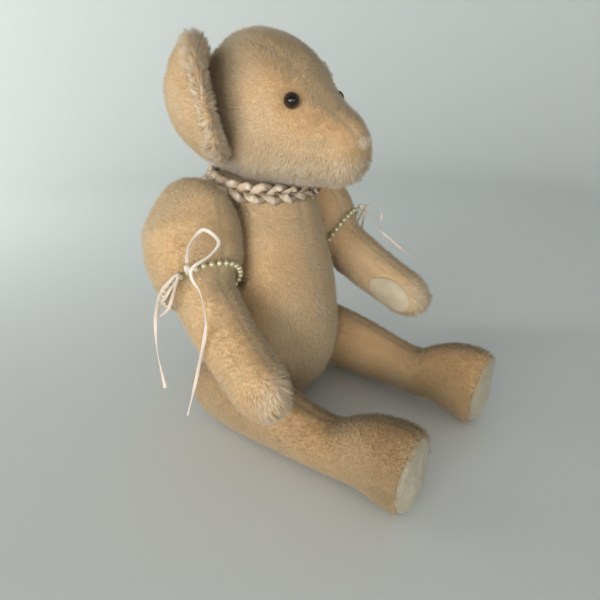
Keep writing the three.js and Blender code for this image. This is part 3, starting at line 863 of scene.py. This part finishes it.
def limb_skin(stations, place, rows, pad):
    q = ring_grid(stations, rows, C_LIMB, (1, 0, 0), None)
    q = q - normals_of(q) * INSET
    keep_over(q, FLAT, 0)
    edge = np.abs(np.cos(TAU * np.arange(C_LIMB) / C_LIMB))
    held = np.maximum(bell(edge, 0.09), q[..., 0] < LIMB_FLAT)
    q = finer(inflate(q, held), 2)
    keep_over(q, FLAT, 0)
    flat = q[..., 0] < LIMB_FLAT
    radius = np.linalg.norm(q - q.mean(axis=1, keepdims=True), axis=-1)
    seam = radius * np.abs(np.cos(TAU * np.arange(2 * C_LIMB) / (2 * C_LIMB)))
    cover, length = pad(q)
    q = sewn(q, seam, (1.3, 2.4), (0.7, 28, 13), (1 - flat) * cover, 1 - flat)
    cover = cover * (1.0 - (flat & (np.hypot(q[..., 1], q[..., 2]) < 24)))
    comb = np.gradient(q, axis=0)
    points = place.out(q)
    keep_over(points, LOW_CLOTH)
    return grid_skin(points, place.aim(comb), seam, cover, length)


PAW = {"centre": (-104.0, -107.0), "long": 30.0, "wide": 20.0, "turn": math.radians(36)}


def paw_place(q):
    """Places on the paw pad: from its middle, over its half length and half width."""
    dy, dz = q[..., 1] - PAW["centre"][0], q[..., 2] - PAW["centre"][1]
    c, s = math.cos(PAW["turn"]), math.sin(PAW["turn"])
    return (dy * c + dz * s) / PAW["long"], (-dy * s + dz * c) / PAW["wide"]


def arm_pad(q):
    e, f = paw_place(q)
    inside = (np.hypot(e, f) < 1.0) & (q[..., 0] < 46)
    tip = np.clip((-q[..., 1] - 105) / 30, 0, 1)
    return 1.0 - inside, 0.85 + 0.65 * tip ** 2


SOLE_Y, SOLE_LEAN = -230.0, math.radians(7)


def sole_depth(q):
    return -(q[..., 1] - SOLE_Y) * math.cos(SOLE_LEAN) - (q[..., 2] + 3) * math.sin(SOLE_LEAN)


def leg_pad(q):
    inside = sole_depth(q) > -0.6
    rim = np.clip((sole_depth(q) + 8) / 8, 0, 1)
    return 1.0 - inside, 0.68 + 0.4 * rim


body = body_skin()
skull = head_skin()
arms = {"left": limb_skin(ARM, raised, 41, arm_pad), "right": limb_skin(ARM, shoulder, 41, arm_pad)}
leg = limb_skin(LEG, hip, 45, leg_pad)
# Painted shade: the pile darkens towards the top of the head.
skull.clean = 1 - 0.4 * np.clip((head.local(skull.points)[:, 2] - 90) / 40, 0, 1)
other_leg = leg.mirror()
# Painted shade on the legs: the left leg darkens towards its foot, and the right leg is darker all
# over and most towards its foot.
down = np.clip((-hip.local(leg.points)[:, 1] - 60) / 150, 0, 1)
leg.clean = 1 - 0.65 * down ** 2
other_leg.clean = 0.46 - 0.40 * down ** 4
skins = {"torso": body, "head": skull, "arm_left": arms["left"],
         "arm_right": arms["right"].mirror(), "leg_left": leg, "leg_right": other_leg}


def leave_room():
    """Pile is short where another stuffed piece lies close."""
    trees = {k: s.tree() for k, s in skins.items()}
    for k, s in skins.items():
        near = [t for j, t in trees.items() if j != k]
        for i, p in enumerate(s.points.tolist()):
            best = FAR
            for tree in near:
                found = tree.find_nearest(p, best)
                if found[0] is not None:
                    best = min(best, found[3])
            s.room[i] = best


leave_room()


def faces_where(skin, test):
    middle = np.array([skin.points[list(f)].mean(axis=0) for f in skin.faces])
    return np.nonzero(test(middle))[0]


def dress(piece, body_name, slot, *nodes, fill=None):
    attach(piece, body_name)
    if nodes:
        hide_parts(*nodes)
    return piece


for side, sign in SIDES:
    piece = furred(f"body_mohair_{side}", body, faces_where(body, lambda m: sign * m[:, 0] > 0))
    dress(piece, "torso", "mohair", f"body_skin_{side}", fill=0.95)


def panel(q):
    """Which head panel a point is on: 0 for the gusset, 1 for the left side, -1 for the right."""
    edge = np.interp(q[:, 1], GUSSET_Y, GUSSET_X)
    return np.where((q[:, 2] > TOP_SEAM) & (np.abs(q[:, 0]) < edge), 0, np.sign(q[:, 0]))


eyes = [(head.out(eye), 8.2) for eye in EYES.values()]
nose_push = [(head.out(NOSE), 8.6)]
for name, key in (("head_gusset", 0), ("head_side_left", 1), ("head_side_right", -1)):
    piece = furred(name.replace("head_", "head_mohair_"), skull,
                   faces_where(skull, lambda m: panel(head.local(m)) == key), push=eyes + nose_push)
    dress(piece, "head", "mohair", name, fill=0.95)

for side in ("left", "right"):
    piece = furred(f"arm_{side}_mohair", skins[f"arm_{side}"])
    dress(piece, f"arm_{side}", "mohair", f"arm_{side}_skin", fill=0.9)
    piece = furred(f"leg_{side}_mohair", skins[f"leg_{side}"])
    dress(piece, f"leg_{side}", "mohair", f"leg_{side}_skin", fill=0.9)


# ---- Ears, from the frame's own ear panels, joined and rounded ----
def rounded(names, voxel, shrink, smooth):
    """One closed soft shape over the named nodes, `shrink` millimetres inside them. voxel is
    how coarsely they are joined, and smooth how many times the join is relaxed."""
    verts, faces = [], []
    for name in names:
        mesh = frame["nodes"][name].data
        faces += [tuple(k + len(verts) for k in p.vertices) for p in mesh.polygons]
        verts += [tuple(v.co) for v in mesh.vertices]
    piece = link("rounding", verts, faces, mm=False)
    remesh = piece.modifiers.new("remesh", "REMESH")
    remesh.mode = "VOXEL"
    remesh.voxel_size = voxel * MM
    relax = piece.modifiers.new("relax", "SMOOTH")
    relax.iterations = smooth
    shown = piece.evaluated_get(bpy.context.evaluated_depsgraph_get())
    mesh = bpy.data.meshes.new_from_object(shown)
    bpy.data.objects.remove(piece)
    points, normals = corners(mesh) / MM, corners(mesh, "normal")
    faces = [tuple(p.vertices) for p in mesh.polygons]
    bpy.data.meshes.remove(mesh)
    return points - normals * shrink, normals, faces


def ear_skin(side):
    points, normals, faces = rounded((f"ear_{side}_back", f"ear_{side}_lining"), 2.4, -3.2, 6)
    # The rim is where the ear reaches farthest from its middle, sector by sector.
    middle = middle_of(points)
    spread = np.linalg.svd(points - middle, full_matrices=False)[2]
    u, v = ((points - middle) @ spread[:2].T).T
    reach, sector = np.hypot(u, v), sectors(u, v, 40)
    widest = np.zeros(40)
    np.maximum.at(widest, sector, reach)
    rim = np.clip((reach / widest[sector] - 0.84) / 0.12, 0, 1)
    tree = skull.tree()
    room = np.full(len(points), FAR)
    for i, p in enumerate(points.tolist()):
        found = tree.find_nearest(p, 12)
        if found[0] is not None:
            outside = (Vector(p) - found[0]).dot(found[1]) > 0
            room[i] = found[3] if outside else 0
    comb = points - head.out([0, 20, 60])
    skin = Skin(points, normals, faces, comb, np.full(len(points), FAR),
                (room > 0).astype(float), 0.95 + 0.75 * rim)
    skin.room = np.maximum(room, 1.4)
    return skin


for side in ("left", "right"):
    piece = furred(f"ear_{side}_mohair", ear_skin(side), lean=20)
    dress(piece, "head", "mohair", f"ear_{side}_back", f"ear_{side}_lining")

# ---- Stuffing ----
STUFFING_DEPTH = 7.0  # how far the fibre lies under the frame's own stuffing, out of sight
NODE_BODY = {n: b for b, ns in frame["record"]["behaviour"]["bodies"].items() for n in ns}
for node in ("body_stuffing", "head_stuffing", "arm_left_stuffing", "arm_right_stuffing",
             "leg_left_stuffing", "leg_right_stuffing"):
    points, normals, faces = rounded((node,), 5.0, 0.0, 3)
    points = points - normals * (STUFFING_DEPTH + 0.8 * noise(points, 9, 21))[:, None]
    keep_over(points, 3.0)
    piece = smooth_piece(node.replace("stuffing", "fibre"), points, faces, fibre)
    dress(piece, NODE_BODY[node], "stuffing", node, fill=1.0)


# ---- Pads ----
PAD_RINGS, PAD_SPOKES = 22, 96
PAD_CLOTH = 1.1  # thickness of the pads


def patch(name, skin, place, ray, rise, look, wrinkle=0.35):
    """A pad of cloth laid on a skin: ray(rho, t) gives a start and a direction for each place
    on it, in the limb's frame. Its edge turns under into the seam."""
    tree = skin.tree()
    points, outward = [], []
    for i in range(PAD_RINGS + 1):
        rho = (i / PAD_RINGS) ** 0.85
        for k in range(PAD_SPOKES if i else 1):
            start, way = ray(rho, TAU * k / PAD_SPOKES)
            hit = tree.ray_cast(Vector(place.out(start)), Vector(place.aim(unit(way))))
            assert hit[0] is not None, name
            edge = (1 - i / PAD_RINGS) * PAD_RINGS
            lift = rise * (1 - math.exp(-edge / 1.6)) + (0.25 if i < PAD_RINGS else -1.0)
            points.append(np.array(hit[0]) + np.array(hit[1]) * lift)
            outward.append(hit[1])
    points, outward = np.array(points), np.array(outward)
    q = place.local(points)
    folds = noise(q * np.array([1, 1, 0.7]), 9, 31) + 0.5 * noise(q, 4.0, 32)
    points = points + outward * (wrinkle * folds)[:, None]
    keep_over(points, 2 * LOWEST)
    piece = smooth_piece(name, points, disc_faces(PAD_RINGS, PAD_SPOKES), look)
    thick = piece.modifiers.new("cloth", "SOLIDIFY")
    thick.thickness = PAD_CLOTH * MM
    thick.offset = -1
    return piece


def paw_ray(rho, t):
    c, s = math.cos(PAW["turn"]), math.sin(PAW["turn"])
    e, f = rho * PAW["long"] * math.cos(t), rho * PAW["wide"] * math.sin(t)
    start = [0.0, PAW["centre"][0] + e * c - f * s, PAW["centre"][1] + e * s + f * c]
    return np.array(start), np.array([1.0, 0, 0])


def sole_ray(rho, t):
    """From inside the foot out through the sole, whose rim lies on the seam."""
    start = np.array([26.4, -205.0, -2.7])
    x, z = 26.5 * rho * math.cos(t), 44.0 * rho * math.sin(t)
    rim = np.array([26 + x, SOLE_Y - z * math.tan(SOLE_LEAN) - 8 * (1 - rho), -2 + z])
    return start, rim - start


def flip_piece(piece):
    """Moves a piece to the other side of the bear."""
    piece.data.vertices.foreach_set("co", (corners(piece.data) * FLIP_X).ravel())
    piece.data.flip_normals()
    return piece


ARM_PLACE = {"left": raised, "right": shoulder}
for side in ("left", "right"):
    paw = patch(f"paw_{side}_suede", arms[side], ARM_PLACE[side], paw_ray, 2.0, paw_suede)
    foot = patch(f"foot_{side}_suede", leg, hip, sole_ray, 2.8, foot_suede, wrinkle=1.0)
    if side == "right":
        paw, foot = flip_piece(paw), flip_piece(foot)
    dress(paw, f"arm_{side}", "pad_cloth", f"paw_{side}_pad")
    dress(foot, f"leg_{side}", "pad_cloth", f"foot_{side}_pad")


# ---- Round shapes for beads, eyes, nose and knots ----
def ball(rows, columns):
    """A sphere's points, with its poles along z, and its faces."""
    t = np.pi * np.arange(rows + 1) / rows
    s = TAU * np.arange(columns) / columns
    grid = np.stack([np.sin(t)[:, None] * np.cos(s), np.sin(t)[:, None] * np.sin(s),
                     np.cos(t)[:, None] * np.ones(columns)], axis=-1)
    return grid_points(grid), grid_faces(rows + 1, columns)


def axes_to(direction, hint=(0, 0, 1)):
    """Rows of a frame whose z is `direction`."""
    z = unit(np.asarray(direction, float))
    x = unit(np.cross(hint, z))
    return np.stack([x, np.cross(z, x), z])


for side, sign in SIDES:
    verts, faces = ball(28, 40)
    gaze = unit(np.array([sign * 0.80, -0.58, 0.12]))
    domed = verts * np.where(verts[:, 2:] > 0, (1, 1, 1.04), 1)
    place = head.out(EYES[side] + EYE_RADIUS * (domed @ axes_to(gaze)))
    piece = smooth_piece(f"eye_{side}_glass", place, turned(faces), glass_eye_material(side))
    away = np.hypot(verts[:, 0], verts[:, 1]) * (verts[:, 2] > 0) + (verts[:, 2] <= 0)
    layer = piece.data.attributes.new("iris", "FLOAT", "POINT")
    layer.data.foreach_set("value", away)
    dress(piece, "head", "eye_glass", f"eye_{side}")

# The nose: close upright stitches drawn over a padded oval, pulled in along the middle.
verts, faces = ball(40, 96)
verts = verts[:, [1, 2, 0]]
across = verts[:, 0]
stitch = 0.08 * np.abs(np.sin(across * 16)) - 0.20 * np.exp(-((across / 0.13) ** 2))
shape = verts * NOSE_SIZE * np.array([1.12, 0.85, 0.98]) * (1 + stitch)[:, None]
place = head.out(NOSE + np.array([0.0, -0.5, -1.0]) + shape)
piece = smooth_piece("nose_thread", place, faces, thread)
dress(piece, "head", "nose_thread", "nose_stitched")


# ---- Ribbons ----
def ribbon(name, path, out, width, thick, twist, material, closed=False):
    """A flat ribbon along a path. out is the way its face looks, one row to a point."""
    path = np.asarray(path, float)
    if closed:
        along = unit(np.roll(path, -1, axis=0) - np.roll(path, 1, axis=0))
    else:
        along = unit(np.gradient(path, axis=0))
    side = unit(np.cross(along, out))
    face = np.cross(side, along)
    c, s = np.cos(twist)[:, None], np.sin(twist)[:, None]
    side, face = side * c + face * s, face * c - side * s
    # A section of ten points with thin, rolled edges.
    section = [(-1, 0), (-0.96, 0.9), (-0.33, 1), (0.33, 1), (0.96, 0.9), (1, 0), (0.96, -0.9),
               (0.33, -1), (-0.33, -1), (-0.96, -0.9)]
    rows = [path + side * (a * width / 2) + face * (b * thick / 2) for a, b in section]
    verts = np.stack(rows, axis=1).reshape(-1, 3)
    m, count = len(section), len(path)
    faces = []
    for i in range(count if closed else count - 1):
        a, b = i * m, ((i + 1) % count) * m
        faces += band(a, b, m)
    if not closed:
        faces += [tuple(range(m)), tuple(reversed(range((count - 1) * m, count * m)))]
    return smooth_piece(name, verts, turned(faces), material)


def node_points(node):
    """A node's corners, in millimetres."""
    return corners(frame["nodes"][node].data) / MM


KNOT = raised.local(middle_of(node_points("bow_left_knot")))
BACK_HALF = [[2.5, 2, -5.8], [8, 6, -13], [9, 16, -27], [10, 31, -52], [9, 15, -42], [10, 4, -18],
             [11.5, -1, -4], [14, 8, -13], [14.5, 20, -29], [14, 26, -55], [11, 26, -88],
             [6, 18, -126]]
RIBBON = {
    "left": {
        "front": [[2, -6, 1], [9, -17, -1], [12, -24, -11], [12, -19.5, -23.5], [11, -10, -21],
                  [9.5, -1, -12], [6.5, 1, -10], [4, -5, -18], [6, -14, -28], [6, -36, -50],
                  [6, -73, -79]],
        "back": BACK_HALF,
    },
    "right": {
        "front": [[1.5, -1, 5.8], [3, -3, 15], [5, -10, 27], [4, -24, 40], [-5, -34, 31],
                  [-4, -25, 17], [5, -13, 4], [6, -14, -6], [3, -23, -18], [0, -29, -46],
                  [-2, -22, -85], [-4, -6, -150]],
        "back": BACK_HALF,
    },
}
RIBBON_WIDTH, RIBBON_THICK = 3.4, 0.45
RIBBON_FACE = {"left": [-0.50, -0.62, 0.60], "right": [-0.84, -0.45, 0.30]}
for side, sign in SIDES:
    hand = np.array([sign, 1, 1])
    arm_body = f"arm_{side}"
    for part, points in RIBBON[side].items():
        local, length = route_curve(np.array(points) + KNOT, 1.6)
        path = ARM_PLACE[side].out(local) * hand
        s = np.linspace(0, 1, len(path))
        start = 0.4 if part == "front" else 1.7
        twist = (1.3 * np.sin(TAU * s * 2.3 + start) * (1 - 0.4 * s)) * sign
        face = np.tile(RIBBON_FACE[side], (len(path), 1))
        name = f"bow_{side}_satin_{part}"
        piece = ribbon(name, path, face, RIBBON_WIDTH, RIBBON_THICK, twist, bow_satin)
        dress(piece, arm_body, "ribbon", f"bow_{side}_ribbon_{part}")
    # The knot: a short wrap of ribbon, folded over and pulled in at its ends.
    verts, faces = ball(24, 32)
    fold = 1 + 0.10 * np.sin(verts[:, 1] * 9 + verts[:, 2] * 4) - 0.18 * np.abs(verts[:, 2]) ** 4
    local = KNOT + verts * np.array([3.0, 3.6, 4.2]) * fold[:, None]
    piece = smooth_piece(f"bow_{side}_wrap", ARM_PLACE[side].out(local) * hand,
                         turned(faces) if sign > 0 else faces, bow_satin)
    dress(piece, arm_body, "ribbon", f"bow_{side}_knot")


# ---- Pearl strings, along the frame's own rings ----
def ring_places(node, count):
    """Places spread evenly round the middle line of a node that is a ring."""
    points = node_points(node)
    middle = middle_of(points)
    plane = np.linalg.svd(points - middle, full_matrices=False)[2]
    flat = (points - middle) @ plane.T
    sector = sectors(flat[:, 0], flat[:, 1], 48)
    line = np.array([points[sector == k].mean(axis=0) for k in range(48) if (sector == k).any()])
    for _ in range(2):
        line = (np.roll(line, 1, axis=0) + 2 * line + np.roll(line, -1, axis=0)) / 4
    loop = np.concatenate([line[-2:], line, line[:3]])
    fine = spline(loop, np.linspace(2, len(line) + 2, 1200))
    return spline(loop, 2 + evenly(fine, count + 1)[:-1] * len(line))


PEARLS = 32


def bead_string(name, node):
    """Touching pearls with a small gilt bead between each pair."""
    places = ring_places(node, PEARLS)
    verts, faces, slots = [], [], []

    def put(shape, rows, slot):
        start = sum(len(v) for v in verts)
        verts.append(shape)
        faces.extend(tuple(start + k for k in reversed(f)) for f in rows)
        slots.extend([slot] * len(rows))

    pearl_verts, pearl_faces = ball(12, 16)
    small_verts, small_faces = ball(8, 10)
    for here, after in zip(places, np.roll(places, -1, axis=0)):
        rows = axes_to(after - here, (0.2, 0.1, 1))
        size = min(3.1, np.linalg.norm(after - here) * 0.47)
        put(here + (pearl_verts * [1, 1, 0.97] * size) @ rows, pearl_faces, 0)
        put((here + after) / 2 + (small_verts * [1, 1, 0.6] * 1.35) @ rows, small_faces, 1)
    piece = smooth_piece(name, np.concatenate(verts), faces, pearl, gilt)
    piece.data.polygons.foreach_set("material_index", np.array(slots, np.int32))
    return piece


for side in ("left", "right"):
    piece = bead_string(f"pearls_{side}", f"pearl_string_{side}")
    dress(piece, f"arm_{side}", "pearl", f"pearl_string_{side}")

# ---- Collar: a flat plait of three satin ribbons round the neck ----
PLAIT_TURNS = 8
PLAIT_WIDE, PLAIT_DEEP = 6.4, 3.0  # how far a ribbon swings across and in depth
PLAIT_RADIUS, PLAIT_HEIGHT = 59.8, -4.4  # the plait's middle line, from the neck's joint
COLLAR_RIBBON = (8.6, 1.0)  # width and thickness
PLAIT_SHADE_SECTION = [1, 0.45, 0, 0, 0.45, 1, 0.6, 0.6, 0.6, 0.6]  # painted shade on each point of the ribbon's section: darkest at its rolled edges, less on its back, none on its face
for k in range(3):
    t = np.linspace(0, TAU, 721)[:-1]
    phase = PLAIT_TURNS * t + TAU * k / 3 + 0.5 * np.sin(2 * t + 1)
    wide = PLAIT_WIDE * np.sin(phase) * (1 + 0.15 * np.sin(5 * t + k))
    deep = PLAIT_DEEP * np.sin(2 * phase)
    wobble = 0.6 * np.sin(7 * t + k) + 0.4 * np.sin(17 * t + 2 * k)
    slant = np.array([0.42, -0.91])
    square = np.array([0.91, 0.42])
    r = PLAIT_RADIUS + wide * slant[0] + (deep + wobble * 0.4) * square[0]
    h = PLAIT_HEIGHT + (wide + wobble) * slant[1] + deep * square[1]
    ring = np.stack([r * np.cos(t), r * np.sin(t), h], axis=1)
    face = np.stack([square[0] * np.cos(t), square[0] * np.sin(t), np.full_like(t, square[1])],
                    axis=1)
    twist = 0.55 * np.cos(phase) + 0.3 * np.sin(3 * phase + k) + 0.2 * np.sin(31 * t + 2 * k)
    piece = ribbon(f"collar_plait_{k + 1}", neck.out(ring), neck.aim(face), *COLLAR_RIBBON, twist,
                   collar_satin, closed=True)
    co = corners(piece.data)
    crease = 0.8 * noise(co / MM, 2.6, 41 + k) + 0.8 * noise(co / MM, 6, 51 + k)
    co += MM * crease[:, None] * np.repeat(neck.aim(face), len(PLAIT_SHADE_SECTION), axis=0)
    piece.data.vertices.foreach_set("co", co.ravel())
    # Painted shade: each ribbon darkens where it dips under its neighbour and along its edges.
    dip_shade = np.clip(0.5 - 0.9 * np.sin(2 * phase), 0, 1)[:, None]
    layer = piece.data.attributes.new("under", "FLOAT", "POINT")
    layer.data.foreach_set("value", np.clip(0.5 * dip_shade + 0.8 * np.array(PLAIT_SHADE_SECTION), 0, 1).ravel())
    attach(piece, "torso")
    if k == 0:
        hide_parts("collar_braid")

# ---- Joint hardware keeps its CAD shape ----
for name, node in frame["nodes"].items():
    for ending, look in (("_disc", board), ("_bolt", steel), ("_lock_nut", steel)):
        if name.endswith(ending):
            node.data.materials.clear()
            node.data.materials.append(look)


# ---- Studio: a pale sweep that rises all round, and soft lamps ----
def sweep():
    """A flat floor that bends up into a round wall, in metres."""
    flat, bend = 1.7, 1.1
    profile = [(0, 0)] + [(r, 0) for r in np.linspace(0.3, flat, 8)]
    profile += [(flat + bend * math.sin(a), bend * (1 - math.cos(a)))
                for a in np.linspace(0.1, math.pi / 2, 16)]
    profile += [(flat + bend, 1.6)]
    columns = 96
    grid = np.array([[[r * math.cos(TAU * c / columns), r * math.sin(TAU * c / columns), z]
                      for c in range(columns)] for r, z in profile])
    verts = np.concatenate([grid[:1, 0], grid[1:].reshape(-1, 3)])
    faces = disc_faces(len(profile) - 1, columns)
    floor = link("studio_floor", verts, faces, mm=False)
    floor.data.shade_smooth()
    m = Nodes("studio_paper", Roughness=0.7, Specular_IOR_Level=0.2)
    m.shader.inputs["Base Color"].default_value = (0.75, 0.77, 0.74, 1)
    floor.data.materials.append(m.material)


sweep()


def lamp(name, place, aim, size, power, color):
    data = bpy.data.lights.new(name, "AREA")
    data.shape = "RECTANGLE"
    data.size, data.size_y = size
    data.energy = power
    data.color = color
    aimed(name, data, place, aim)


lamp("window", (-1.85, -0.5, 0.40), (0, 0, 0.30), (1.3, 0.8), 23, (1.0, 0.985, 0.96))
lamp("front_fill", (-0.9, -1.7, 0.5), (0, 0, 0.3), (1.4, 0.7), 7, (1.0, 0.99, 0.97))
lamp("wall_wash", (-1.1, 1.3, 1.3), (0.8, 2.7, 1.0), (0.9, 0.9), 36, (0.95, 1.0, 1.0))
backdrop = bpy.data.worlds.new("soft_room")
backdrop.use_nodes = True
backdrop.node_tree.nodes["Background"].inputs["Color"].default_value = (0.93, 0.97, 1.0, 1)
backdrop.node_tree.nodes["Background"].inputs["Strength"].default_value = 0.31
bpy.context.scene.world = backdrop
bpy.context.scene.view_settings.view_transform = "Standard"
